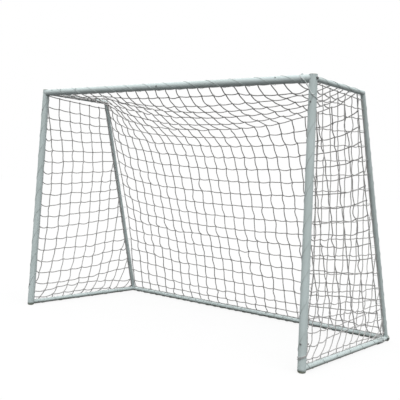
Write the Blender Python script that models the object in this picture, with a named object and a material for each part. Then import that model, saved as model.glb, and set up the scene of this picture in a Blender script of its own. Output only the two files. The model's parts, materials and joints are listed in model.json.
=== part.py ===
"""Small-sided football goal: a bolted steel tube frame that stands by itself and carries a laced net.

X runs along the crossbar, Y from the mouth to the back and Z up, in metres. The goal stands on z = 0 and
its origin lies under the middle of its box.
"""

import math

import bmesh
import bpy
from mathutils import Matrix, Vector
from mathutils.geometry import intersect_line_line

# Overall sizes of the frame
OUTER_WIDTH = 3.000  # across the outer sides of the posts
CLEAR_HEIGHT = 2.000  # ground to the underside of the crossbar
TOP_DEPTH = 0.800  # post axis to the rear top corner
BASE_DEPTH = 1.400  # post axis to the rear bottom corner
RAIL_CLEARANCE = 0.006  # ground to the base rails, which leaves room for the lacing

# Tubes
POST_DIAMETER = 0.060  # posts and crossbar
POST_WALL = 0.002
RAIL_DIAMETER = 0.040  # side frames and rear bar
RAIL_WALL = 0.002
POST_SIDES = 20
RAIL_SIDES = 16
GAP = 0.0003  # left between pieces that touch

# Joints inside the tubes
POST_JOINT = 0.220  # bar axis to the seam in a post
SLEEVE_REACH = 0.100  # from a seam into either tube
SLEEVE_WALL = 0.0025
SCREW_FROM_SEAM = 0.050
INSERT_SETBACK = 0.004  # from the neighbouring tube to a threaded insert
INSERT_THICKNESS = 0.012

# Screws and bolts
SCREW_DIAMETER = 0.008
SCREW_HEAD_DIAMETER = 0.015
SCREW_HEAD_HEIGHT = 0.0045
SCREW_DOME = ((0.0, 1.0), (0.55, 0.86), (0.9, 0.45), (1.0, 0.0))  # shares of head radius and height
SCREW_LENGTH = 0.012
BOLT_DIAMETER = 0.010
BOLT_HEAD_WIDTH = 0.019  # across the corners
BOLT_HEAD_HEIGHT = 0.0064
WASHER_DIAMETER = 0.024
WASHER_THICKNESS = 0.002
BOLT_PAST_INSERT = 0.005
HOLE_CLEARANCE = 0.0006  # on a hole's diameter
FASTENER_SIDES = 12

# Plastic caps and feet
CAP_THICKNESS = 0.003
CAP_DEPTH = 0.015  # inside the tube
CAP_ROUNDING = 0.001
FOOT_HEIGHT = 0.012  # ground to the end of the post's tube
FOOT_DEPTH = 0.020  # inside the post
FOOT_FLAT = 0.5  # share of the foot's radius that stays flat
FOOT_ROUND_STEPS = 4

# Net
NET_CORD = 0.004
NET_COLUMNS = 12  # gaps across the mouth
ROOF_ROWS = 4
BACK_ROWS = 8
SIDE_COLUMNS = 5
SIDE_ROWS = 8
RIDGE_DROP = 0.400  # how far the unsupported rear top edge hangs at mid width
RIDGE_PULL = 0.100  # and how far it is drawn towards the mouth
ROOF_BELLY = 0.360  # steep fall of the roof just behind the crossbar
ROOF_BELLY_DEPTH = 0.060
ROOF_SHELF_DEPTH = 0.300  # nearly level run in front of the ridge
ROOF_SHELF_RISE = 0.010
BACK_BELLY = 0.010  # how far the back hangs forward of a straight line
SAG_POWER = 1.5  # spread of the sag across the width
SIDE_BILLOW = 0.030  # how far a side panel bows inwards
NET_SEAT = GAP + NET_CORD / 2  # tube to the net's edge line

# Lacing
LACING_CORD = 0.003
LACING_STEPS = 8  # points in a turn
LACING_SLACK = 0.0007  # room where a turn passes round the net's edge cord
CROSSBAR_LACING_PHASE = 0.3  # place of the lacing in a gap, clear of the crossbar's screw
LACING_PHASE = 0.5
TIE_TURNS = 2
TIE_PITCH = 0.015
TIE_INSET = 0.018  # from the net's corner to a tie

# Derived places, with the posts on y = 0
POST_X = (OUTER_WIDTH - POST_DIAMETER) / 2
BAR_Z = CLEAR_HEIGHT + POST_DIAMETER / 2
POST_RADIUS = POST_DIAMETER / 2
RAIL_RADIUS = RAIL_DIAMETER / 2
BASE_Z = RAIL_CLEARANCE + RAIL_RADIUS
POST_BORE = POST_DIAMETER - 2 * POST_WALL
RAIL_BORE = RAIL_DIAMETER - 2 * RAIL_WALL

SIDES = (("left", -1), ("right", 1))

# Finishes: colour, roughness and metallic value
PAINT = ((0.62, 0.67, 0.67, 1.0), 0.35, 0.0)
ZINC = ((0.30, 0.31, 0.32, 1.0), 0.40, 1.0)
STEEL = ((0.45, 0.46, 0.46, 1.0), 0.50, 1.0)
PLASTIC = ((0.55, 0.58, 0.54, 1.0), 0.55, 0.0)
CORD = ((0.86, 0.86, 0.85, 1.0), 0.85, 0.0)


def clear_scene():
    """Take every object out of the scene."""
    for item in list(bpy.data.objects):
        bpy.data.objects.remove(item, do_unlink=True)


def own_material(name, finish):
    """Principled material for one sub-part."""
    colour, roughness, metallic = finish
    material = bpy.data.materials.new(name)
    material.use_nodes = True
    shader = material.node_tree.nodes["Principled BSDF"]
    shader.inputs["Base Color"].default_value = colour
    shader.inputs["Roughness"].default_value = roughness
    shader.inputs["Metallic"].default_value = metallic
    return material


def add_object(name, data, finish):
    """Put a mesh or curve into the scene with its own material."""
    item = bpy.data.objects.new(name, data)
    bpy.context.scene.collection.objects.link(item)
    item.data.materials.append(own_material(name, finish))
    return item


def mesh_from(name, bm, smooth_below=40):
    """Turn a bmesh into a mesh, shaded smooth where its faces meet at less than an angle in degrees."""
    bmesh.ops.recalc_face_normals(bm, faces=bm.faces)
    mesh = bpy.data.meshes.new(name)
    bm.to_mesh(mesh)
    bm.free()
    mesh.shade_smooth()
    mesh.set_sharp_from_angle(angle=math.radians(smooth_below))
    return mesh


def turn_along(direction):
    """Rotation that brings local Z to a direction and keeps local Y as upright as it can be."""
    return direction.to_track_quat("Z", "Y")


def place(item, start, direction):
    """Stand an object that was built along +Z on a point, along a direction."""
    item.rotation_mode = "QUATERNION"
    item.location = start
    item.rotation_quaternion = turn_along(direction)


def slide_onto_plane(verts, point, normal):
    """Move vertices along local Z until they lie on a plane."""
    for vert in verts:
        vert.co.z += (point - vert.co).dot(normal) / normal.z


def tube(name, start, end, diameter, wall, sides, finish, end_normals=(None, None)):
    """Hollow tube between two points, each end square or cut along a plane with the given normal."""
    axis = end - start
    bm = bmesh.new()
    for width in (diameter, diameter - 2 * wall):
        bmesh.ops.create_circle(bm, segments=sides, radius=width / 2)
    ring = bmesh.ops.bridge_loops(bm, edges=bm.edges[:])["faces"]
    drawn = bmesh.ops.extrude_face_region(bm, geom=ring)["geom"]
    far = [item for item in drawn if isinstance(item, bmesh.types.BMVert)]
    near = [vert for vert in bm.verts if vert not in far]
    bmesh.ops.translate(bm, verts=far, vec=(0, 0, axis.length))
    to_local = turn_along(axis).inverted()
    for verts, height, normal in zip((near, far), (0, axis.length), end_normals):
        if normal is not None:
            slide_onto_plane(verts, Vector((0, 0, height)), to_local @ normal)
    item = add_object(name, mesh_from(name, bm), finish)
    place(item, start, axis)
    return item


def cutter(name, start, end, diameter, sides):
    """Solid round cutter, hidden from the render."""
    axis = end - start
    bm = bmesh.new()
    bmesh.ops.create_cone(
        bm, cap_ends=True, segments=sides, radius1=diameter / 2, radius2=diameter / 2, depth=axis.length
    )
    bmesh.ops.translate(bm, verts=bm.verts, vec=(0, 0, axis.length / 2))
    item = add_object(name, mesh_from(name, bm), STEEL)
    place(item, start, axis)
    item.hide_render = True
    item.display_type = "WIRE"
    return item


def cut(item, tool):
    """Cut one object with another."""
    modifier = item.modifiers.new("Cut by " + tool.name, "BOOLEAN")
    modifier.object = tool
    modifier.operation = "DIFFERENCE"


def cope(item, name, start, end, diameter, sides):
    """Shape a tube's end to sit on the round side of its neighbour."""
    cut(item, cutter(name, start, end, diameter + 2 * GAP, sides))


def turned(name, profile, sides, finish, hexagon_width=None):
    """Solid of revolution about local Z from (radius, height) points, with a hexagonal head if asked."""
    bm = bmesh.new()
    points = [bm.verts.new((radius, 0, height)) for radius, height in profile]
    edges = [bm.edges.new(pair) for pair in zip(points, points[1:])]
    bmesh.ops.spin(
        bm, geom=points + edges, cent=(0, 0, 0), axis=(0, 0, 1), angle=math.tau, steps=sides, use_merge=True
    )
    bmesh.ops.remove_doubles(bm, verts=bm.verts, dist=1e-6)
    if hexagon_width is not None:
        flatten_to_hexagon(bm, hexagon_width)
    return add_object(name, mesh_from(name, bm, smooth_below=35), finish)


def flatten_to_hexagon(bm, width):
    """Draw in every second vertex of a twelve-sided head of a given width, which leaves six flats."""
    for vert in bm.verts:
        on_head = abs(2 * vert.co.xy.length - width) < GAP
        turn = round(math.degrees(math.atan2(vert.co.y, vert.co.x)) / 30) % 2
        if on_head and turn == 1:
            vert.co.xy *= math.cos(math.radians(30))


def bolt(name, seat, direction, length):
    """Hexagon bolt with a flange washer: seat is the middle of the washer's inner face."""
    profile = (
        (0, WASHER_THICKNESS + BOLT_HEAD_HEIGHT),
        (BOLT_HEAD_WIDTH / 2, WASHER_THICKNESS + BOLT_HEAD_HEIGHT),
        (BOLT_HEAD_WIDTH / 2, WASHER_THICKNESS),
        (WASHER_DIAMETER / 2, WASHER_THICKNESS),
        (WASHER_DIAMETER / 2, 0),
        (BOLT_DIAMETER / 2, 0),
        (BOLT_DIAMETER / 2, -length),
        (0, -length),
    )
    item = turned(name, profile, FASTENER_SIDES, ZINC, BOLT_HEAD_WIDTH)
    place(item, seat, direction)
    return item


def screw(name, seat, direction):
    """Round-headed screw: seat is the middle of its head's underside."""
    profile = [(SCREW_HEAD_DIAMETER / 2 * width, SCREW_HEAD_HEIGHT * height) for width, height in SCREW_DOME]
    profile += [(SCREW_DIAMETER / 2, 0), (SCREW_DIAMETER / 2, -SCREW_LENGTH), (0, -SCREW_LENGTH)]
    item = turned(name, profile, FASTENER_SIDES, ZINC)
    place(item, seat, direction)
    return item


def drill(items, name, middle, direction, length, diameter):
    """Cut one round hole through several objects."""
    half = direction * (length / 2)
    tool = cutter(name, middle - half, middle + half, diameter + HOLE_CLEARANCE, FASTENER_SIDES)
    for item in items:
        cut(item, tool)


def sleeve(name, seam, direction, bore, sides):
    """Inner tube that joins two tubes at a seam."""
    reach = direction * SLEEVE_REACH
    return tube(name, seam - reach, seam + reach, bore - 2 * GAP, SLEEVE_WALL, sides, STEEL)


def fasten_seam(name, tube_item, sleeve_item, seam, along, facing, diameter):
    """Screw through a tube's wall into the sleeve, a little way along from the seam."""
    middle = seam + along * SCREW_FROM_SEAM + facing * (diameter / 2)
    screw(name, middle + facing * GAP, facing)
    drill((tube_item, sleeve_item), name + "_hole", middle, facing, diameter / 2, SCREW_DIAMETER)


def insert(name, face, direction, bore, sides):
    """Threaded disc welded inside a tube's end: face is the middle of its outer side."""
    back = face - direction * INSERT_THICKNESS
    width = bore - 2 * GAP
    wall = (width - BOLT_DIAMETER - HOLE_CLEARANCE) / 2
    return tube(name, back, face, width, wall, sides, STEEL)


def end_joint(side, bar, corner, outwards, radius, bore, sides, drilled):
    """Bolt from outside through one tube into the threaded insert of the bar that butts against it."""
    name = side + "_" + bar
    insert(name + "_insert", corner - outwards * (radius + INSERT_SETBACK), outwards, bore, sides)
    reach = 2 * radius + INSERT_SETBACK + INSERT_THICKNESS + BOLT_PAST_INSERT
    bolt(name + "_bolt", corner + outwards * (radius + GAP), outwards, reach)
    drill(drilled, name + "_bolt_hole", corner, outwards, 4 * radius, BOLT_DIAMETER)


def cap(name, tube_end, direction, radius, bore, sides):
    """Flat cap that closes a tube's end."""
    plug = bore / 2 - GAP
    profile = (
        (0, CAP_THICKNESS),
        (radius - CAP_ROUNDING, CAP_THICKNESS),
        (radius, CAP_THICKNESS - CAP_ROUNDING),
        (radius, GAP),
        (plug, GAP),
        (plug, -CAP_DEPTH),
        (0, -CAP_DEPTH),
    )
    item = turned(name, profile, sides, PLASTIC)
    place(item, tube_end, direction)
    return item


def foot(name, post_end):
    """Rounded foot pushed into a post's lower end."""
    plug = POST_BORE / 2 - GAP
    profile = [(0, FOOT_DEPTH), (plug, FOOT_DEPTH), (plug, -GAP)]
    for step in range(FOOT_ROUND_STEPS + 1):
        turn = math.pi / 2 * step / FOOT_ROUND_STEPS
        width = FOOT_FLAT + (1 - FOOT_FLAT) * math.cos(turn)
        profile.append((POST_RADIUS * width, -GAP - (FOOT_HEIGHT - GAP) * math.sin(turn)))
    profile.append((0, -FOOT_HEIGHT))
    item = turned(name, profile, POST_SIDES, PLASTIC)
    item.location = post_end
    return item


def upright_slope():
    """Direction of the sloping uprights, downwards."""
    return Vector((0, BASE_DEPTH - TOP_DEPTH, BASE_Z - BAR_Z)).normalized()


def side_frame(side, sign):
    """One post with its top rail, sloping upright and base rail, and what joins and closes them."""
    x = sign * POST_X
    outwards = Vector((sign, 0, 0))
    up = Vector((0, 0, 1))
    top = Vector((x, 0, BAR_Z))
    base = Vector((x, 0, BASE_Z))
    rear_top = Vector((x, TOP_DEPTH, BAR_Z))
    rear_base = Vector((x, BASE_DEPTH, BASE_Z))

    head = post_tubes(side, top, base)
    top_rail, upright, base_rail = rails(side, top, rear_top, base, rear_base)

    margin = up * (2 * POST_DIAMETER)
    cope(top_rail, side + "_top_cope", top - margin, top + margin, POST_DIAMETER, POST_SIDES)
    cope(top_rail, side + "_bar_cope", top, top - outwards * POST_DIAMETER, POST_DIAMETER, POST_SIDES)
    cope(base_rail, side + "_base_cope", base - margin, base + margin, POST_DIAMETER, POST_SIDES)
    run = Vector((0, 2 * RAIL_DIAMETER, 0))
    cope(upright, side + "_foot_cope", rear_base - run, rear_base + run, RAIL_DIAMETER, RAIL_SIDES)
    inner = rear_base - outwards * RAIL_DIAMETER
    cope(upright, side + "_rear_bar_cope", rear_base, inner, RAIL_DIAMETER, RAIL_SIDES)

    end_joint(side, "crossbar", top, outwards, POST_RADIUS, POST_BORE, POST_SIDES, (head,))
    end_joint(side, "rear_bar", rear_base, outwards, RAIL_RADIUS, RAIL_BORE, RAIL_SIDES, (base_rail, upright))


def post_tubes(side, top, base):
    """Post in three lengths on inner sleeves, with its screws, cap and foot: gives its head."""
    up = Vector((0, 0, 1))
    forwards = Vector((0, -1, 0))
    upper_seam = top - up * POST_JOINT
    lower_seam = base + up * POST_JOINT
    post_top = top + up * (POST_RADIUS - CAP_THICKNESS)
    post_end = Vector((top.x, top.y, FOOT_HEIGHT))
    half = up * (GAP / 2)
    section = (POST_DIAMETER, POST_WALL, POST_SIDES, PAINT)
    head = tube(side + "_post_head", upper_seam + half, post_top, *section)
    tube(side + "_post", lower_seam + half, upper_seam - half, *section)
    shoe = tube(side + "_post_foot", post_end, lower_seam - half, *section)
    upper = sleeve(side + "_upper_sleeve", upper_seam, up, POST_BORE, POST_SIDES)
    lower = sleeve(side + "_lower_sleeve", lower_seam, up, POST_BORE, POST_SIDES)
    fasten_seam(side + "_upper_screw", head, upper, upper_seam, up, forwards, POST_DIAMETER)
    fasten_seam(side + "_lower_screw", shoe, lower, lower_seam, -up, forwards, POST_DIAMETER)
    cap(side + "_post_cap", post_top, up, POST_RADIUS, POST_BORE, POST_SIDES)
    foot(side + "_post_plug", post_end)
    return head


def rails(side, top, rear_top, base, rear_base):
    """Top rail and upright, which meet in a mitre, and the base rail with its end cap."""
    slope = upright_slope()
    level = Vector((0, 1, 0))
    half = GAP / 2
    mitre = (level + slope).normalized()
    section = (RAIL_DIAMETER, RAIL_WALL, RAIL_SIDES, PAINT)
    top_rail = tube(side + "_top_rail", top, rear_top - level * half, *section, (None, mitre))
    ends = (mitre, Vector((0, 0, 1)))
    upright = tube(side + "_rear_upright", rear_top + slope * half, rear_base, *section, ends)
    rail_end = rear_base + level * RAIL_RADIUS
    base_rail = tube(side + "_base_rail", base, rail_end, *section)
    cap(side + "_base_rail_cap", rail_end, level, RAIL_RADIUS + RAIL_CLEARANCE, RAIL_BORE, RAIL_SIDES)
    return top_rail, upright, base_rail


def split_bar(name, left, right, diameter, wall, sides, facing, neighbour):
    """Bar in two halves on an inner sleeve, with its screw at mid width and ends coped to its neighbours."""
    across = (right - left).normalized()
    seam = (left + right) / 2 - across * SCREW_FROM_SEAM
    half = across * (GAP / 2)
    left_half = tube(name + "_left", left, seam - half, diameter, wall, sides, PAINT)
    right_half = tube(name + "_right", seam + half, right, diameter, wall, sides, PAINT)
    inner = sleeve(name + "_sleeve", seam, across, diameter - 2 * wall, sides)
    fasten_seam(name + "_screw", right_half, inner, seam, across, facing, diameter)
    run = neighbour * (2 * diameter)
    for item, end in ((left_half, left), (right_half, right)):
        cope(item, item.name + "_cope", end - run, end + run, diameter, sides)


def bars():
    """Crossbar and rear base bar."""
    split_bar(
        "crossbar",
        Vector((-POST_X, 0, BAR_Z)),
        Vector((POST_X, 0, BAR_Z)),
        POST_DIAMETER,
        POST_WALL,
        POST_SIDES,
        Vector((0, -1, 0)),
        Vector((0, 0, 1)),
    )
    split_bar(
        "rear_bar",
        Vector((-POST_X, BASE_DEPTH, BASE_Z)),
        Vector((POST_X, BASE_DEPTH, BASE_Z)),
        RAIL_DIAMETER,
        RAIL_WALL,
        RAIL_SIDES,
        Vector((0, 1, 0)),
        Vector((0, 1, 0)),
    )


def bezier(points, t):
    """Point of a Bezier curve of any degree."""
    while len(points) > 1:
        points = [a.lerp(b, t) for a, b in zip(points, points[1:])]
    return points[0]


def hung_sheet(edge, middle, half_width):
    """Surface of a panel held along both sides and sagging to a middle line between them."""

    def point(u, v):
        across = 2 * u - 1
        share = 1 - abs(across) ** SAG_POWER
        place_in_depth = edge(v).lerp(middle(v), share)
        return Vector((across * half_width, place_in_depth.y, place_in_depth.z))

    return point


def roof_and_back():
    """Surfaces of the roof, which hangs between crossbar and ridge, and of the back below the ridge."""
    slope = upright_slope()
    front = Vector((0, POST_RADIUS + NET_SEAT, BAR_Z))
    corner = Vector((0, TOP_DEPTH, BAR_Z))
    foot_line = Vector((0, BASE_DEPTH, BASE_Z)) - slope * (RAIL_RADIUS + NET_SEAT)
    ridge = corner + Vector((0, -RIDGE_PULL, -RIDGE_DROP))
    half_width = POST_X - RAIL_RADIUS - NET_SEAT
    belly = front + Vector((0, ROOF_BELLY_DEPTH, -ROOF_BELLY))
    shelf = ridge + Vector((0, -ROOF_SHELF_DEPTH, ROOF_SHELF_RISE))
    hollow = ridge.lerp(foot_line, 0.5) + Vector((0, -2 * BACK_BELLY, 0))
    before = Vector((0, -NET_SEAT, 0))
    below = slope * NET_SEAT

    roof = hung_sheet(
        lambda v: front.lerp(corner + before, v),
        lambda v: bezier([front, belly, shelf, ridge + before], v),
        half_width,
    )
    back = hung_sheet(
        lambda v: (corner + below).lerp(foot_line, v),
        lambda v: bezier([ridge + below, hollow, foot_line], v),
        half_width,
    )
    return roof, back


def side_corners():
    """Corners of a side panel's edge lines at x = 0: front top, rear top, front bottom and rear bottom."""
    slope = upright_slope()
    reach = RAIL_RADIUS + NET_SEAT
    inwards = Vector((0, slope.z, -slope.y))
    rear = Vector((0, TOP_DEPTH, BAR_Z)) + inwards * reach
    top = Vector((0, POST_RADIUS + NET_SEAT, BAR_Z - reach))
    bottom = Vector((0, top.y, BASE_Z + reach))
    level = Vector((0, 1, 0))
    rear_top = intersect_line_line(top, top + level, rear, rear + slope)[0]
    rear_bottom = intersect_line_line(bottom, bottom + level, rear, rear + slope)[0]
    return top, rear_top, bottom, rear_bottom


def side_panel(sign):
    """Surface of a side panel, from post to upright and from top rail to base rail."""
    top, rear_top, bottom, rear_bottom = side_corners()

    def point(u, v):
        bow = SIDE_BILLOW * math.sin(math.pi * u) * math.sin(math.pi * v)
        flat = top.lerp(rear_top, u).lerp(bottom.lerp(rear_bottom, u), v)
        return flat + Vector((sign * (POST_X - bow), 0, 0))

    return point


def net_panel(name, point, columns, rows):
    """Grid laid on a surface, with its edges turned into cords that run into each other at every knot."""
    bm = bmesh.new()
    bmesh.ops.create_grid(bm, x_segments=columns, y_segments=rows, size=0.5)
    for vert in bm.verts:
        vert.co = point(vert.co.x + 0.5, vert.co.y + 0.5)
    item = add_object(name, mesh_from(name, bm), CORD)
    cords = item.modifiers.new("Cords", "WIREFRAME")
    cords.thickness = NET_CORD
    cords.use_replace = True
    cords.use_boundary = True
    cords.use_even_offset = False
    cords.use_relative_offset = False
    return item


def net():
    """The four panels."""
    roof, back = roof_and_back()
    net_panel("net_roof", roof, NET_COLUMNS, ROOF_ROWS)
    net_panel("net_back", back, NET_COLUMNS, BACK_ROWS)
    for side, sign in SIDES:
        net_panel("net_" + side, side_panel(sign), SIDE_COLUMNS, SIDE_ROWS)


def lacing(name, start, end, diameter, turns, net_sides, phase=LACING_PHASE):
    """Cord wound along a tube, once for each gap, outside the net's edge cords that lie beside the tube."""
    axis = (end - start).normalized()
    pitch = (end - start).length / turns
    first = net_sides[0].normalized()
    second = axis.cross(first)
    wrap = (diameter / 2 + GAP + LACING_CORD / 2) / math.cos(math.pi / LACING_STEPS)
    over_net = diameter / 2 + NET_SEAT + (NET_CORD + LACING_CORD) / 2 + GAP + LACING_SLACK
    quarter = LACING_STEPS // 4
    points = []
    for step in range(-quarter, LACING_STEPS * (turns - 1) + quarter + 1):
        angle = math.tau * step / LACING_STEPS
        outwards = first * math.cos(angle) + second * math.sin(angle)
        crosses_net = any(outwards.dot(side.normalized()) > 0.99 for side in net_sides)
        radius = over_net if crosses_net else wrap
        points.append(start + axis * ((step / LACING_STEPS + phase) * pitch) + outwards * radius)
    later = LACING_STEPS // 2
    apart = [(a - b).length for index, a in enumerate(points) for b in points[index + later :]]
    print("{}: least gap to itself {:.1f} mm".format(name, (min(apart) - LACING_CORD) * 1000))
    curve = bpy.data.curves.new(name, "CURVE")
    curve.dimensions = "3D"
    curve.bevel_depth = LACING_CORD / 2
    curve.bevel_resolution = 0
    curve.use_fill_caps = True
    spline = curve.splines.new("POLY")
    spline.points.add(len(points) - 1)
    for target, point in zip(spline.points, points):
        target.co = (*point, 1)
    return add_object(name, curve, CORD)


def lacings():
    """One lacing for each tube that the net hangs from."""
    up = Vector((0, 0, 1))
    half_width = POST_X - RAIL_RADIUS - NET_SEAT
    slope = upright_slope()
    lacing(
        "crossbar_lacing",
        Vector((-half_width, 0, BAR_Z)),
        Vector((half_width, 0, BAR_Z)),
        POST_DIAMETER,
        NET_COLUMNS,
        [Vector((0, 1, 0))],
        CROSSBAR_LACING_PHASE,
    )
    lacing(
        "rear_bar_lacing",
        Vector((-half_width, BASE_DEPTH, BASE_Z)),
        Vector((half_width, BASE_DEPTH, BASE_Z)),
        RAIL_DIAMETER,
        NET_COLUMNS,
        [-slope],
    )
    top, rear_top, bottom, rear_bottom = side_corners()
    for side, sign in SIDES:
        x = sign * POST_X
        inside = Vector((-sign, 0, 0))
        lacing(
            side + "_post_lacing",
            Vector((x, 0, bottom.z)),
            Vector((x, 0, top.z)),
            POST_DIAMETER,
            SIDE_ROWS,
            [Vector((0, 1, 0))],
        )
        lacing(
            side + "_top_lacing",
            Vector((x, top.y, BAR_Z)),
            Vector((x, TOP_DEPTH, BAR_Z)),
            RAIL_DIAMETER,
            ROOF_ROWS,
            [inside, -up],
        )
        reach = up * (RAIL_RADIUS + NET_SEAT)
        lacing(
            side + "_base_lacing",
            Vector((x, 0, 0)) + bottom - reach,
            Vector((x, 0, 0)) + rear_bottom - reach,
            RAIL_DIAMETER,
            SIDE_COLUMNS,
            [up],
        )
        lacing(
            side + "_upright_lacing",
            Vector((x, TOP_DEPTH, BAR_Z)),
            Vector((x, BASE_DEPTH, BASE_Z)) - slope * reach.z,
            RAIL_DIAMETER,
            BACK_ROWS,
            [Vector((0, slope.z, -slope.y)), inside],
        )


def ties():
    """Short windings that hold the right panel's corners to the post and to the base rail."""
    top, rear_top, bottom, rear_bottom = side_corners()
    run = (TIE_TURNS + 1) * TIE_PITCH
    up = Vector((0, 0, 1))
    backwards = Vector((0, 1, 0))
    post = Vector((POST_X, 0, 0))
    upper = post + up * (top.z - TIE_INSET)
    lower = post + up * (bottom.z + TIE_INSET)
    rear = Vector((POST_X, rear_bottom.y - TIE_INSET, BASE_Z))
    lacing("right_upper_tie", upper - up * run, upper, POST_DIAMETER, TIE_TURNS + 1, [backwards])
    lacing("right_lower_tie", lower, lower + up * run, POST_DIAMETER, TIE_TURNS + 1, [backwards])
    lacing("right_rear_tie", rear - backwards * run, rear, RAIL_DIAMETER, TIE_TURNS + 1, [up])


def put_origin_under_middle():
    """Move everything along Y so that the origin lies under the middle of the box."""
    bpy.context.view_layer.update()
    shown = [item for item in bpy.data.objects if not item.hide_render]
    corners = [item.matrix_world @ Vector(corner) for item in shown for corner in item.bound_box]
    depths = [corner.y for corner in corners]
    shift = Matrix.Translation((0, -(min(depths) + max(depths)) / 2, 0))
    for item in bpy.data.objects:
        item.matrix_world = shift @ item.matrix_world


def main():
    """Build the goal."""
    clear_scene()
    for side, sign in SIDES:
        side_frame(side, sign)
    bars()
    net()
    lacings()
    ties()
    put_origin_under_middle()


main()
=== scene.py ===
"""Looks of a free-standing small-sided sports goal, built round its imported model.

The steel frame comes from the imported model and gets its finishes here. The net is hung in this script: the
roof and back are one sheet of knotted square mesh that is pinned to the frame and relaxed under its own
weight, and each side is a panel of the same mesh. Lacing and corner ties hold the net to the tubes.

All lengths are in metres. X runs along the crossbar, Y from the mouth to the back, and Z up.
"""

from __future__ import annotations

import json
import logging
import math
from dataclasses import dataclass, field
from enum import Enum
from typing import Any, Iterable, Sequence

import bmesh
import bpy
import numpy as np
from bpy.types import ID, Material, Mesh, NodeSocket, Object
from mathutils import Matrix, Vector


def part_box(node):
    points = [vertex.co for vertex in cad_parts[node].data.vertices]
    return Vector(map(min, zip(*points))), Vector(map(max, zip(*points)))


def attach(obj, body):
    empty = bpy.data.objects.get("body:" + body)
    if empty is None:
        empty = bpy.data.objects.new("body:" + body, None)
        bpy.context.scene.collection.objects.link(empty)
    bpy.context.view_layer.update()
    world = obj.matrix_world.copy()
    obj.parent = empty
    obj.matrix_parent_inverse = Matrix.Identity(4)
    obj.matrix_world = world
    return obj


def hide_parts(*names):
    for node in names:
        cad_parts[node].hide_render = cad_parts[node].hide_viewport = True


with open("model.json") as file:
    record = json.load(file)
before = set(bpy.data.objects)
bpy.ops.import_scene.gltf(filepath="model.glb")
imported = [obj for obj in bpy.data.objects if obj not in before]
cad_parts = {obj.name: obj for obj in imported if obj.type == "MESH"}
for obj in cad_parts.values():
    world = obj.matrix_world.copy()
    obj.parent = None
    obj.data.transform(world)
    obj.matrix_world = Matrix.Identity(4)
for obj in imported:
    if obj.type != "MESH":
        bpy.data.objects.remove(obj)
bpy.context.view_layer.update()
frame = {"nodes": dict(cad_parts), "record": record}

SEED = 20
UP = Vector((0, 0, 1))
REST_GAP = 0.0002  # between a cord's surface and the tube that it rests on
GRAVITY = 9.81
STILL = 0.002  # speed at which the net counts as hanging
FLAT_ARC = 3 / 8  # square of a flat arc's depth over its span, for each share of spare length
WHITE = (1.0, 1.0, 1.0, 1.0)
log = logging.getLogger("sports_goal")

Profile = tuple[tuple[float, float], ...]


def value_at(profile: Profile, at: float) -> float:
    """Value of a profile at a place, with straight lines between its points."""
    return float(np.interp(at, *zip(*profile)))


class Side(Enum):
    """The two sides of the goal, seen from the mouth. The value is the sign of X."""

    LEFT = -1
    RIGHT = 1

    @property
    def prefix(self) -> str:
        """Start of the names of this side's nodes."""
        return self.name.lower()


# Colours and shader nodes


def linear(code: str) -> tuple[float, float, float, float]:
    """Turns an sRGB colour into the linear values that a shader takes.

    Args:
        code: Colour as "#rrggbb".

    Returns:
        Linear red, green and blue, and an alpha of 1.
    """
    shares = [int(code[i : i + 2], 16) / 255 for i in (1, 3, 5)]
    red, green, blue = (c / 12.92 if c <= 0.04045 else ((c + 0.055) / 1.055) ** 2.4 for c in shares)
    return red, green, blue, 1.0


def add_node(material: ID, kind: str, inputs: dict[Any, Any] | None = None, **settings: Any) -> Any:
    """Adds one shader node with its settings and links.

    Args:
        material: Material or world that holds the node.
        kind: Node type, such as "ShaderNodeTexNoise".
        inputs: Values or sockets for its inputs, by name or number.
        settings: Attributes of the node itself.

    Returns:
        The new node.
    """
    node = material.node_tree.nodes.new(kind)
    for name, value in settings.items():
        setattr(node, name, value)
    for key, value in (inputs or {}).items():
        if isinstance(value, NodeSocket):
            material.node_tree.links.new(value, node.inputs[key])
        else:
            node.inputs[key].default_value = value
    return node


def ramp(material: ID, factor: Any, stops: Sequence[tuple[float, Any]]) -> Any:
    """Adds a colour ramp.

    Args:
        material: Material that holds the node.
        factor: Socket that drives it.
        stops: Places from 0 to 1 with their linear colours, or grey levels.

    Returns:
        The ramp's colour output.
    """
    node = add_node(material, "ShaderNodeValToRGB", {"Fac": factor})
    elements = node.color_ramp.elements
    while len(elements) < len(stops):
        elements.new(1.0)
    for element, (place, value) in zip(elements, stops):
        element.position = place
        element.color = value if isinstance(value, tuple) else (value, value, value, 1.0)
    return node.outputs["Color"]


def noise(material: ID, place: Any, size_mm: float, detail: float, **inputs: float) -> Any:
    """Adds a noise pattern with features of a real size.

    Args:
        material: Material that holds the node.
        place: Socket with the coordinates.
        size_mm: Size of the features.
        detail: Number of finer layers.
        inputs: Other inputs of the node.

    Returns:
        The pattern's grey output.
    """
    values = {"Vector": place, "Scale": 1000 / size_mm, "Detail": detail, **inputs}
    return add_node(material, "ShaderNodeTexNoise", values).outputs["Fac"]


def calc(material: ID, operation: str, *values: Any) -> Any:
    """Adds a math node on values or sockets and returns its output."""
    return add_node(material, "ShaderNodeMath", dict(enumerate(values)), operation=operation).outputs[0]


def mix(material: ID, factor: Any, a: Any, b: Any, kind: str = "RGBA") -> Any:
    """Adds a mix of two colours, or of two numbers with the kind FLOAT, and returns its output."""
    values = {"Factor": factor, "A": a, "B": b}
    return add_node(material, "ShaderNodeMix", values, data_type=kind).outputs["Result"]


def object_place(material: ID) -> Any:
    """Adds the object's own coordinates, in metres, and returns their output."""
    return add_node(material, "ShaderNodeTexCoord").outputs["Object"]


def new_material(name: str) -> Material:
    """Makes an empty node material with that name."""
    material = bpy.data.materials.new(name)
    material.use_nodes = True
    material.node_tree.nodes.clear()
    return material


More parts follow.
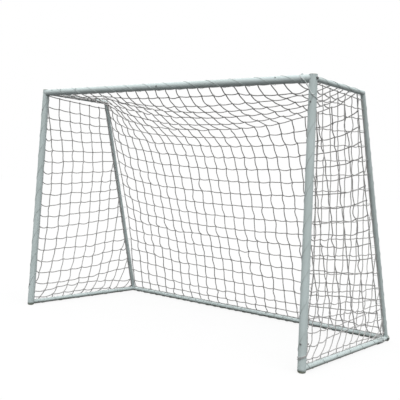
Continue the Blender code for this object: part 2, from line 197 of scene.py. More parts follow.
def close_material(m: Material, color: Any, roughness: Any, bump: Any, bump_mm: float, **values: float) -> Material:
    """Puts the shader and the output on a material.

    Args:
        m: Material that holds the pattern nodes.
        color: Socket with the base colour.
        roughness: Socket or number.
        bump: Socket with the height pattern, from 0 to 1.
        bump_mm: Height of that pattern in millimetres.
        values: Other inputs of the shader, set on its own sockets, with _ for a space.

    Returns:
        The finished material.
    """
    relief = add_node(m, "ShaderNodeBump", {"Height": bump, "Distance": bump_mm / 1000, "Strength": 1.0})
    inputs = {"Base Color": color, "Roughness": roughness, "Normal": relief.outputs["Normal"]}
    inputs.update({key.replace("_", " "): value for key, value in values.items()})
    shader = add_node(m, "ShaderNodeBsdfPrincipled", inputs)
    add_node(m, "ShaderNodeOutputMaterial", {"Surface": shader.outputs["BSDF"]})
    return m


@dataclass(frozen=True)
class PowderCoat:
    """Light grey powder coat baked on round steel tube: satin, with a fine orange peel, and low down a dark greenish
    band that is partly grime and partly painted shade on the undersides of the rails on the ground.

    The eye gets long soft streaks of light along each tube, slightly cloudy tone, and faint rubbed scuffs.
    """

    name: str = "powder_coated_steel"
    tone: str = "#ADB8B8"
    cloud: str = "#A5B0AF"
    scuff: str = "#BCC4C3"
    # Dark green of a band near the ground, partly grime and partly painted shade, and the heights and strength of that
    # band
    grime_and_painted_shade: str = "#40453A"
    peel_mm: float = 2.2
    cloud_mm: float = 260.0
    scuff_mm: float = 34.0
    grime_and_shade_from: float = 0.010
    grime_and_shade_top: float = 0.030
    grime_and_shade_strength: float = 2.4

    def build(self) -> Material:
        """Makes the material."""
        m = new_material(self.name)
        place = object_place(m)
        clouds = noise(m, place, self.cloud_mm, 3.0)
        cloudy = ramp(m, clouds, ((0.35, linear(self.tone)), (0.68, linear(self.cloud))))
        scratched = noise(m, place, self.scuff_mm, 5.0, Roughness=0.72, Distortion=0.6)
        scuffs = ramp(m, scratched, ((0.63, 0.0), (0.74, 0.55)))
        rubbed = mix(m, scuffs, cloudy, linear(self.scuff))
        height = add_node(m, "ShaderNodeSeparateXYZ", {"Vector": place}).outputs["Z"]
        # Painted shade with some grime: below the band's top the coat is mixed, in cloudy patches, towards the dark
        # green, most at the bottom where the ground shades the rails.
        span = {"From Min": self.grime_and_shade_from, "From Max": self.grime_and_shade_top, "To Min": self.grime_and_shade_strength, "To Max": 0.0}
        low = add_node(m, "ShaderNodeMapRange", {"Value": height, **span}).outputs["Result"]
        grimed_and_shaded = mix(m, calc(m, "MULTIPLY", low, clouds), rubbed, linear(self.grime_and_painted_shade))
        peel = noise(m, place, self.peel_mm, 2.0)
        rough = ramp(m, scratched, ((0.3, 0.42), (0.8, 0.56)))
        return close_material(m, grimed_and_shaded, rough, peel, 0.05, IOR=1.5, Specular_IOR_Level=0.3)


@dataclass(frozen=True)
class ZincPlate:
    """Electroplated zinc on turned or rolled steel, gone dull: grey metal with fine turning marks and darker spots."""

    name: str
    tone: str
    stain: str
    grain_mm: float = 0.8
    stain_mm: float = 6.0

    def build(self) -> Material:
        """Makes the material."""
        m = new_material(self.name)
        place = object_place(m)
        spots = noise(m, place, self.stain_mm, 4.0)
        color = ramp(m, spots, ((0.38, linear(self.tone)), (0.66, linear(self.stain))))
        grain = noise(m, place, self.grain_mm, 2.0)
        rough = ramp(m, spots, ((0.3, 0.34), (0.7, 0.52)))
        return close_material(m, color, rough, grain, 0.04, Metallic=1.0)


@dataclass(frozen=True)
class MouldedPlastic:
    """Grey polyethylene caps from a mould with a fine spark-eroded grain: matt, slightly waxy, dusty in patches."""

    name: str = "moulded_polyethylene"
    tone: str = "#7A8377"
    dust: str = "#868A78"
    grain_mm: float = 0.9
    dust_mm: float = 18.0

    def build(self) -> Material:
        """Makes the material."""
        m = new_material(self.name)
        place = object_place(m)
        dusty = noise(m, place, self.dust_mm, 4.0)
        color = ramp(m, dusty, ((0.4, linear(self.tone)), (0.7, linear(self.dust))))
        grain = add_node(m, "ShaderNodeTexVoronoi", {"Vector": place, "Scale": 1000 / self.grain_mm})
        rough = ramp(m, dusty, ((0.3, 0.5), (0.7, 0.66)))
        return close_material(m, color, rough, grain.outputs["Distance"], 0.06, IOR=1.5)


@dataclass(frozen=True)
class TwistedCord:
    """Three-ply polypropylene cord: rounded plies that wind round each other, with painted shade darkening the hollows
    between them.

    The pattern lies on the cord's own UV map, whose U runs once round the cord and whose V is its length in
    metres, so the plies follow every bend.
    """

    name: str
    ply: str
    # Tone of the hollows between the plies, which is painted shade
    shaded_hollow_tone: str
    pitch_mm: float = 14.0
    plies: int = 3
    fibre_mm: float = 1.2

    def build(self) -> Material:
        """Makes the material."""
        m = new_material(self.name)
        along = add_node(m, "ShaderNodeUVMap", uv_map="cord").outputs["UV"]
        split = add_node(m, "ShaderNodeSeparateXYZ", {"Vector": along}).outputs
        turned = calc(m, "MULTIPLY", split["X"], float(self.plies))
        wound = calc(m, "MULTIPLY_ADD", split["Y"], 1000 / self.pitch_mm, turned)
        wave = calc(m, "SINE", calc(m, "MULTIPLY", wound, math.tau))
        rise = add_node(m, "ShaderNodeMapRange", {"Value": wave, "From Min": -1.0, "From Max": 1.0}).outputs["Result"]
        fibres = noise(m, object_place(m), self.fibre_mm, 2.0)
        soft = calc(m, "MULTIPLY_ADD", fibres, 0.35, rise)
        # Painted shade: the colour darkens towards the hollows between the plies, with a little random fibre variation
        # on top.
        color = ramp(m, soft, ((0.15, linear(self.shaded_hollow_tone)), (0.75, linear(self.ply))))
        return close_material(m, color, 0.82, soft, 0.35, Sheen_Weight=0.15)


FRAME_FINISHES = {
    "painted_tube": PowderCoat(),
    "zinc_fastener": ZincPlate("dull_zinc_plate", "#6B6C6D", "#4B4A48"),
    "inner_steel": ZincPlate("galvanised_steel", "#8C8E8F", "#777978", grain_mm=2.0, stain_mm=20.0),
    "plastic_cap": MouldedPlastic(),
}


class Cord(Enum):
    """The three cords: the net's, the one that laces it on, and the newer white one of the corner ties."""

    # The second tone of each cord is painted shade for the hollows between its plies.
    NET = TwistedCord("twisted_net_cord", "#A3A2A1", "#858483")
    LACING = TwistedCord("twisted_lacing_cord", "#AEB6B5", "#8F9896", pitch_mm=11.0)
    TIE = TwistedCord("twisted_tie_cord", "#C2C8C8", "#A0A6A5", pitch_mm=12.0)


Finishes = dict[Cord, Material]


# The frame's lines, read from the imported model


@dataclass(frozen=True)
class Tube:
    """A round tube between two points of its axis."""

    start: Vector
    end: Vector
    radius: float

    @property
    def axis(self) -> Vector:
        """Unit vector from start to end."""
        return (self.end - self.start).normalized()

    @property
    def length(self) -> float:
        """Distance from start to end."""
        return (self.end - self.start).length

    def at(self, distance: float) -> Vector:
        """Point of the axis at that distance from the start."""
        return self.start + self.axis * distance


class GoalLines:
    """Axes of the goal's tubes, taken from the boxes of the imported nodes."""

    MITRE = 0.0147  # from the far end of a top rail to the axis of its upright

    def __init__(self) -> None:
        """Reads the boxes."""
        low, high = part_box("right_post")
        self.post_radius = (high.x - low.x) / 2
        self.post_x = (high.x + low.x) / 2
        self.mouth_y = (high.y + low.y) / 2
        low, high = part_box("crossbar_right")
        self.bar_z = (high.z + low.z) / 2
        low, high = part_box("rear_bar_right")
        self.rail_radius = (high.z - low.z) / 2
        self.base_z = (high.z + low.z) / 2
        self.rear_y = (high.y + low.y) / 2
        self.top_rear_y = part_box("right_top_rail")[1].y - self.MITRE

    def _bar(self, y: float, z: float, radius: float) -> Tube:
        """A bar from the left side to the right one."""
        left, right = (Vector((side.value * self.post_x, y, z)) for side in Side)
        return Tube(left, right, radius)

    def _side_tube(self, side: Side, start: tuple[float, float], end: tuple[float, float], radius: float) -> Tube:
        """A tube of a side frame, from one Y and Z to another."""
        x = side.value * self.post_x
        return Tube(Vector((x, *start)), Vector((x, *end)), radius)

    def crossbar(self) -> Tube:
        """The crossbar, from the left post to the right one."""
        return self._bar(self.mouth_y, self.bar_z, self.post_radius)

    def rear_bar(self) -> Tube:
        """The bar on the ground at the back, from left to right."""
        return self._bar(self.rear_y, self.base_z, self.rail_radius)

    def post(self, side: Side) -> Tube:
        """A post, from the ground to the top."""
        return self._side_tube(side, (self.mouth_y, 0.0), (self.mouth_y, self.bar_z), self.post_radius)

    def top_rail(self, side: Side) -> Tube:
        """A top rail, from the post to the rear corner."""
        return self._side_tube(side, (self.mouth_y, self.bar_z), (self.top_rear_y, self.bar_z), self.rail_radius)

    def upright(self, side: Side) -> Tube:
        """A sloping rear upright, from the top to the ground."""
        return self._side_tube(side, (self.top_rear_y, self.bar_z), (self.rear_y, self.base_z), self.rail_radius)

    def base_rail(self, side: Side) -> Tube:
        """A base rail, from the post to the rear corner."""
        return self._side_tube(side, (self.mouth_y, self.base_z), (self.rear_y, self.base_z), self.rail_radius)

    def net_way(self, side: Side) -> Vector:
        """Direction from an upright to the edge of the back net beside it."""
        slope = self.upright(side).axis
        forward = 0.6 if side is Side.RIGHT else 0.0  # the left edge hangs straight inwards on longer loops
        return Vector((-side.value, forward * slope.z, -forward * slope.y)).normalized()


def beside(tube: Tube, distance: float, outwards: Sequence[float], clearance: float = 0.0028) -> Vector:
    """Point just off a tube's surface, from its place along the axis and its direction from it."""
    away = Vector(outwards)
    away -= tube.axis * away.dot(tube.axis)
    return tube.at(distance) + away.normalized() * (tube.radius + clearance)


# Cord meshes


def smooth_faces(data: Mesh) -> None:
    """Shades a mesh smooth."""
    data.polygons.foreach_set("use_smooth", [True] * len(data.polygons))


def cord_mesh(name: str, runs: Iterable[np.ndarray], diameter: float, closed: bool = False, detail: int = 1) -> Mesh:
    """Makes round cords along lines of points, with a UV map that follows them.

    Args:
        name: Name of the mesh.
        runs: One array of points for each cord.
        diameter: Thickness of the cords.
        closed: Whether each cord joins its own start.
        detail: 1 for six sides, 2 for eight.

    Returns:
        A mesh with the UV map "cord": U once round the cord, V its length in metres.
    """
    curve = bpy.data.curves.new(name, "CURVE")
    curve.dimensions = "3D"
    curve.bevel_depth = diameter / 2
    curve.bevel_resolution = detail
    curve.use_fill_caps = not closed
    for run in runs:
        spline = curve.splines.new("POLY")
        spline.points.add(len(run) - 1)
        spline.points.foreach_set("co", np.c_[run, np.ones(len(run))].ravel())
        spline.use_cyclic_u = closed
    holder = link(name, curve)
    bpy.context.view_layer.update()
    evaluated = holder.evaluated_get(bpy.context.evaluated_depsgraph_get())
    data = bpy.data.meshes.new_from_object(evaluated)
    bpy.data.objects.remove(holder)
    bpy.data.curves.remove(curve)
    lay_cord_map(data, 4 + 2 * detail)
    smooth_faces(data)
    data.name = name
    return data


def lay_cord_map(data: Mesh, sides: int, longest_step: float = 0.2) -> None:
    """Gives a tube mesh its map: U once round, V in metres along it.

    Args:
        data: Mesh whose last vertices are rings of equal length, ring after ring.
        sides: Vertices in a ring.
        longest_step: Most that V grows from ring to ring, also where the next cord begins.
    """
    points = np.empty(len(data.vertices) * 3)
    data.vertices.foreach_get("co", points)
    points = points.reshape(-1, 3)
    corners = np.empty(len(data.loops), int)
    data.loops.foreach_get("vertex_index", corners)
    totals = np.empty(len(data.polygons), int)
    data.polygons.foreach_get("loop_total", totals)
    tube_faces = np.repeat(totals == 4, totals)
    first = int(corners[tube_faces].min())
    rings = points[first:].reshape(-1, sides, 3).mean(1)
    steps = np.r_[0.0, np.linalg.norm(np.diff(rings, axis=0), axis=1)]
    along = np.cumsum(np.minimum(steps, longest_step))
    ring, place = np.divmod(np.maximum(corners - first, 0), sides)
    start = np.r_[0, np.cumsum(totals)[:-1]]
    wraps = (np.maximum.reduceat(place, start) == sides - 1) & (np.minimum.reduceat(place, start) == 0)
    turn = np.where(np.repeat(wraps, totals) & (place == 0), 1.0, place / sides)
    while data.uv_layers:
        data.uv_layers.remove(data.uv_layers[0])
    layer = data.uv_layers.new(name="cord")
    layer.data.foreach_set("uv", np.c_[turn, along[np.minimum(ring, len(along) - 1)]].ravel())


def link(name: str, data: ID) -> Object:
    """Puts new data into the scene as an object at the origin."""
    item = bpy.data.objects.new(name, data)
    bpy.context.scene.collection.objects.link(item)
    return item


def add_piece(name: str, data: Mesh, finish: Material, replaced: Sequence[str]) -> Object:
    """Puts a mesh into the scene as a piece of the goal.

    Args:
        name: Name of the piece.
        data: Its mesh, in the model's own place.
        finish: Its material.
        replaced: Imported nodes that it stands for.

    Returns:
        The new object.
    """
    item = link(name, data)
    data.materials.clear()
    data.materials.append(finish)
    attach(item, "root")
    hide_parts(*replaced)
    log.info("%s: %d faces", name, len(data.polygons))
    return item


def join(data: Mesh, extra: Mesh) -> None:
    """Adds a second mesh to a mesh, which is then smooth all over, and drops the second one."""
    bm = bmesh.new()
    bm.from_mesh(data)
    bm.from_mesh(extra)
    bm.to_mesh(data)
    bm.free()
    smooth_faces(data)
    bpy.data.meshes.remove(extra)


def add_knots(data: Mesh, places: Sequence[Vector], diameter: float) -> None:
    """Adds overhand knots, drawn tight, to a cord's mesh.

    Args:
        data: Mesh of the cord.
        places: Middles of the knots.
        diameter: Thickness of the cord.
    """
    if not places:
        return
    turn = np.linspace(0, math.tau, 24, endpoint=False)
    # A trefoil, a little deeper than usual
    line = np.c_[np.sin(turn) + 2 * np.sin(2 * turn), np.cos(turn) - 2 * np.cos(2 * turn), -1.6 * np.sin(3 * turn)]
    loops = [line * diameter * 0.52 + np.array(place) for place in places]
    join(data, cord_mesh("knots", loops, diameter, closed=True))


def knot_shape(diameter: float, ring_radius: float = 0.62, lean: float = math.radians(35)) -> Mesh:
    """Makes one knot: a ring of cord drawn tight round a crossing.

    Args:
        diameter: Thickness of the cord.
        ring_radius: Radius of the ring, in diameters of the cord.
        lean: Angle between the ring's axis and Z.

    Returns:
        A mesh of thirty faces round the origin.
    """
    bm = bmesh.new()
    profile = bmesh.ops.create_circle(bm, segments=5, radius=diameter * 0.5)["verts"]
    bmesh.ops.rotate(bm, verts=profile, cent=(0, 0, 0), matrix=Matrix.Rotation(math.pi / 2, 3, "X"))
    bmesh.ops.translate(bm, verts=profile, vec=(diameter * ring_radius, 0, 0))
    ring = {"axis": (0, 0, 1), "cent": (0, 0, 0), "angle": math.tau, "steps": 6, "use_merge": True}
    bmesh.ops.spin(bm, geom=bm.verts[:] + bm.edges[:], **ring)
    bmesh.ops.remove_doubles(bm, verts=bm.verts[:], dist=diameter * 0.01)
    askew = Vector((1.0, 0.31, 0.17))  # sorted along it, because each run leaves them in another order
    bm.verts.sort(key=lambda vert: vert.co.dot(askew))
    bm.faces.sort(key=lambda face: face.calc_center_median().dot(askew))
    bmesh.ops.recalc_face_normals(bm, faces=bm.faces[:])
    bmesh.ops.rotate(bm, verts=bm.verts[:], cent=(0, 0, 0), matrix=Matrix.Rotation(lean, 3, "Y"))
    data = bpy.data.meshes.new("knot")
    bm.to_mesh(data)
    bm.free()
    return data


def scatter(name: str, shape: Mesh, places: Sequence[Matrix]) -> Mesh:
    """Joins turned and moved copies of one shape into a mesh.

    Args:
        name: Name of the new mesh.
        shape: Mesh to copy.
        places: One matrix for each copy.

    Returns:
        The joined mesh, with the UV map "cord" flat at one point.
    """
    bm = bmesh.new()
    for place in places:
        single = shape.copy()
        single.transform(place)
        bm.from_mesh(single)
        bpy.data.meshes.remove(single)
    bm.loops.layers.uv.new("cord")
    data = bpy.data.meshes.new(name)
    bm.to_mesh(data)
    bm.free()
    smooth_faces(data)
    return data


# The hanging net


class HangingNet:
    """Cords between knots, held at some of them, that sag under their own weight.

    A cord can slacken but not stretch. Where it is slack, its middle hangs in a small arc.
    """

    FADE = 0.35  # level share of a cord's way below which its arc fades out
    STIFF = 0.3  # share of its bends that a cord between two held knots keeps
    STEEP = 0.8  # how much larger the waves of an upright cord are

    def __init__(
        self,
        knots: np.ndarray,
        cords: Sequence[tuple[int, int, float]],
        held: np.ndarray,
        reaches: Sequence[tuple[int, int, float]],
    ) -> None:
        """Keeps the net's layout.

        Args:
            knots: Places of the knots.
            cords: First knot, second knot and length of each cord.
            held: Whether each knot stays where it is.
            reaches: Held knot, free knot and length of cord between them, over all knots on the way.
        """
        self.points = knots.astype(float)
        self.ends = np.array([(a, b) for a, b, _ in cords])
        self.lengths = np.array([length for _, _, length in cords])
        self.limits = [*cords, *reaches]
        self.weight = np.where(held, 0.0, 1.0)
        self.bends = np.zeros((len(cords), 2, 3))

    def _apart(self) -> list[list[tuple[int, int, float]]]:
        """Sorts the limits into groups in which no free knot appears twice."""
        used: list[set[int]] = []
        groups: list[list[tuple[int, int, float]]] = []
        for a, b, length in self.limits:
            free = {knot for knot in (a, b) if self.weight[knot]}
            for taken, group in zip(used, groups):
                if not free & taken:
                    break
            else:
                taken, group = set(), []
                used.append(taken)
                groups.append(group)
            taken |= free
            group.append((a, b, length))
        return groups

    def relax(self, steps: int, rounds: int = 10, pace: float = 0.01, damping: float = 0.97) -> None:
        """Lets the net fall until it hangs.

        Args:
            steps: Steps in time.
            rounds: Passes over all cords in a step.
            pace: Seconds in a step.
            damping: Share of the speed that is kept.
        """
        free = self.weight > 0
        speed = np.zeros_like(self.points)
        plans = []
        for group in self._apart():
            a, b, length = (np.array(values) for values in zip(*group))
            share = np.maximum(self.weight[a] + self.weight[b], 1.0)
            plans.append((a, b, length, (self.weight[a] / share)[:, None], (self.weight[b] / share)[:, None]))
        for _ in range(steps):
            before = self.points.copy()
            self.points = np.where(free[:, None], before + speed * damping * pace, before)
            self.points[free, 2] -= GRAVITY * pace * pace
            for _ in range(rounds):
                for a, b, length, share_a, share_b in plans:
                    gap = self.points[b] - self.points[a]
                    reach = np.linalg.norm(gap, axis=1)
                    over = (np.maximum(reach - length, 0.0) / np.maximum(reach, 1e-9))[:, None] * gap
                    self.points[a] += over * share_a
                    self.points[b] -= over * share_b
            speed = (self.points - before) / pace
            if np.abs(speed).max() < STILL:
                break

    def bend(self, crinkle: float, seed: int, most: float = 0.016) -> None:
        """Bends each cord: slack hangs in an arc, and cord that has been packed keeps small waves.

        Args:
            crinkle: Usual size of the waves. Hanging cords, which bear little, have the larger ones.
            seed: Seed of the pattern.
            most: Deepest arc.
        """
        rng = np.random.default_rng(seed)
        start, end = self.points[self.ends[:, 0]], self.points[self.ends[:, 1]]
        way = end - start
        reach = np.maximum(np.linalg.norm(way, axis=1), 1e-6)
        unit = way / reach[:, None]
        spare = np.maximum(self.lengths / reach - 1, rng.uniform(0.001, 0.012, len(reach)))
        depth = np.minimum(np.sqrt(FLAT_ARC * spare) * reach, most)
        down = np.array([0.0, 0.0, -1.0]) + unit[:, 2:] * unit
        down /= np.maximum(np.linalg.norm(down, axis=1), self.FADE)[:, None]
        loose = np.where((self.weight[self.ends] > 0).any(1), 1.0, self.STIFF)[:, None]
        steep = np.abs(unit[:, 2:])
        for side in (0, 1):
            wave = rng.normal(0.0, 1.0, way.shape) * crinkle * (1 + self.STEEP * steep)
            wave -= (wave * unit).sum(1)[:, None] * unit
            self.bends[:, side] = (down * depth[:, None] + wave) * loose

    def run(self, knots: Sequence[int], lookup: dict[tuple[int, int], int], steps: int = 5) -> np.ndarray:
        """Points of one cord that passes through a row of knots.

        Args:
            knots: The knots in order.
            lookup: Number of the cord between two knots.
            steps: Points for each cord.

        Returns:
            An array of points, with a small bend at each knot.
        """
        share = (np.arange(steps) / steps)[:, None]
        pieces = []
        for a, b in zip(knots, knots[1:]):
            start, end = self.points[a], self.points[b]
            first, second = self.bends[lookup[a, b]] * (4 / 3)
            one, two = start + (end - start) / 3 + first, start + (end - start) * 2 / 3 + second
            pieces.append(
                (1 - share) ** 3 * start
                + 3 * share * (1 - share) ** 2 * one
                + 3 * share**2 * (1 - share) * two
                + share**3 * end
            )
        pieces.append(self.points[knots[-1]][None])
        return np.concatenate(pieces)


@dataclass
class NetCloth:
    """Builder of the visible mesh of a net from its hanging layout."""

    name: str
    diameter: float
    knots: list[Vector] = field(default_factory=list)
    held: list[bool] = field(default_factory=list)
    cords: list[tuple[int, int, float]] = field(default_factory=list)
    reaches: list[tuple[int, int, float]] = field(default_factory=list)
    runs: list[list[int]] = field(default_factory=list)

    def knot(self, place: Vector, held: bool = False) -> int:
        """Adds a knot and returns its number."""
        self.knots.append(place)
        self.held.append(held)
        return len(self.knots) - 1

    def thread(self, knots: Sequence[int], lengths: float | Sequence[float]) -> None:
        """Runs one cord through knots.

        Args:
            knots: The knots in order.
            lengths: Length of each stretch, or of all.
        """
        if len(knots) < 2:
            return
        self.runs.append(list(knots))
        values = [lengths] * (len(knots) - 1) if isinstance(lengths, float) else list(lengths)
        self.cords.extend(zip(knots, knots[1:], values))
        for line, steps in ((knots, values), (knots[::-1], values[::-1])):
            if self.held[line[0]]:
                totals = np.cumsum(steps).tolist()
                self.reaches.extend((line[0], knot, total) for knot, total in list(zip(line[1:], totals))[1:-1])

    def hang(self, steps: int, crinkle: float, seed: int, finish: Material, replaced: Sequence[str]) -> Object:
        """Lets the net hang, and makes its cords and knots.

        Args:
            steps: Steps in time.
            crinkle: Size of the bends that the cord keeps.
            seed: Seed of those bends.
            finish: Material of the cord.
            replaced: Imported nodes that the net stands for.

        Returns:
            The net as one piece.
        """
        net = HangingNet(np.array([list(k) for k in self.knots]), self.cords, np.array(self.held), self.reaches)
        net.relax(steps)
        net.bend(crinkle, seed)
        lookup = {(a, b): index for index, (a, b, _) in enumerate(self.cords)}
        strands = cord_mesh(self.name, [net.run(run, lookup) for run in self.runs], self.diameter)
        shape = knot_shape(self.diameter)
        rng = np.random.default_rng(SEED)
        places = []
        for point in net.points:
            spin = Matrix.Rotation(rng.uniform(0, math.tau), 4, "Y") @ Matrix.Rotation(rng.uniform(-0.5, 0.5), 4, "X")
            places.append(Matrix.Translation(Vector(point)) @ spin)
        join(strands, scatter(self.name + "_knots", shape, places))
        bpy.data.meshes.remove(shape)
        return add_piece(self.name, strands, finish, replaced)


@dataclass
class RoofAndBack:
    """The sheet that hangs from the crossbar over the roof and down the back to the rear bar."""

    lines: GoalLines
    columns: int = 25
    rows: int = 23
    diameter: float = 0.0090
    # Cord from knot to knot in each row, and in each stretch down a column
    across: Profile = (
        (1, 0.1189), (3, 0.1199), (5, 0.1195), (6, 0.1185), (7, 0.1161), (8, 0.1151), (9, 0.1146), (10, 0.1142),
        (12, 0.1135), (14, 0.1130), (16, 0.1126), (18, 0.1128), (20, 0.1136), (22, 0.1143), (23, 0.1158),
    )
    along: Profile = (
        (0, 0.085), (1, 0.120), (7, 0.120), (8, 0.118), (13, 0.118), (14, 0.115), (20, 0.115), (21, 0.085), (22, 0.070),
    )
    # Way along a side frame from the crossbar to the end of each row
    left_places: Profile = (
        (0, 0.03), (1, 0.18), (2, 0.45), (3, 0.72), (6, 0.84), (7, 0.96), (8, 1.07), (22, 2.79), (23, 2.87),
    )
    right_places: Profile = (
        (0, 0.03), (1, 0.18), (2, 0.33), (3, 0.43), (5, 0.63), (6, 0.745), (7, 0.94), (8, 1.07), (22, 2.79), (23, 2.87),
    )
    # Gap between an upright and the net's edge, by the way from the crossbar
    left_gaps: Profile = (
        (0.80, 0.006), (1.20, 0.030), (1.60, 0.055), (2.00, 0.070), (2.30, 0.060), (2.60, 0.025), (2.85, 0.012),
    )
    right_gaps: Profile = ((0.80, 0.004), (0.89, 0.030))
    seat: float = 0.004
    front_seat: tuple[float, float] = (0.80, 0.70)  # behind and below the crossbar's axis, in radii
    rear_seat: tuple[float, float] = (0.010, 0.003)  # behind the rear bar's axis and above its top
    crinkle: float = 0.0042
    edge_columns: float = 6.0  # columns beside an edge that share its longer stretches
    most_spare: float = 0.05
    give: float = 1.02
    settling: int = 400

    def along_side(self, side: Side, distance: float) -> Vector:
        """Point of the net's edge on a side frame, at a distance from the crossbar along it."""
        top, upright = self.lines.top_rail(side), self.lines.upright(side)
        if distance <= top.length:
            return top.at(distance) - Vector((side.value * (top.radius + self.seat), 0, 0))
        gap = value_at(self.left_gaps if side is Side.LEFT else self.right_gaps, distance)
        return upright.at(distance - top.length) + self.lines.net_way(side) * (upright.radius + gap)

    def build(self, finish: Material) -> Object:
        """Hangs and dresses the sheet.

        Args:
            finish: Material of the cord.

        Returns:
            The net of roof and back.
        """
        cloth = NetCloth("net_roof_and_back", self.diameter)
        lines = self.lines
        behind, below = (lines.post_radius * share for share in self.front_seat)
        front = Vector((0, lines.mouth_y + behind, lines.bar_z - below))
        rear = Vector((0, lines.rear_y + self.rear_seat[0], lines.base_z + lines.rail_radius + self.rear_seat[1]))
        grid: list[list[int]] = []
        for row in range(self.rows + 1):
            numbers = []
            left = self.along_side(Side.LEFT, value_at(self.left_places, row))
            right = self.along_side(Side.RIGHT, value_at(self.right_places, row))
            for column in range(self.columns + 1):
                place = left.lerp(right, column / self.columns)
                if row in (0, self.rows):
                    edge = front if row == 0 else rear
                    place = Vector((place.x, edge.y, edge.z))
                held = row in (0, self.rows) or column in (0, self.columns)
                numbers.append(cloth.knot(place, held))
            grid.append(numbers)
        for row, numbers in enumerate(grid):
            cloth.thread(numbers, value_at(self.across, row))
        lengths = [value_at(self.along, row) for row in range(self.rows)]
        for column in range(self.columns + 1):
            edge = 0 if column < self.columns / 2 else self.columns
            pull = max(0.0, 1 - abs(column - edge) / self.edge_columns)
            run = [grid[row][column] for row in range(self.rows + 1)]
            stretched = []
            for row, length in enumerate(lengths):
                gap = (cloth.knots[grid[row + 1][edge]] - cloth.knots[grid[row][edge]]).length * self.give
                spare = max(0.0, gap - length)
                stretched.append(length + (spare if column == edge else min(spare, self.most_spare) * pull))
            cloth.thread(run, stretched)
        return cloth.hang(self.settling, self.crinkle, SEED, finish, ("net_roof", "net_back"))


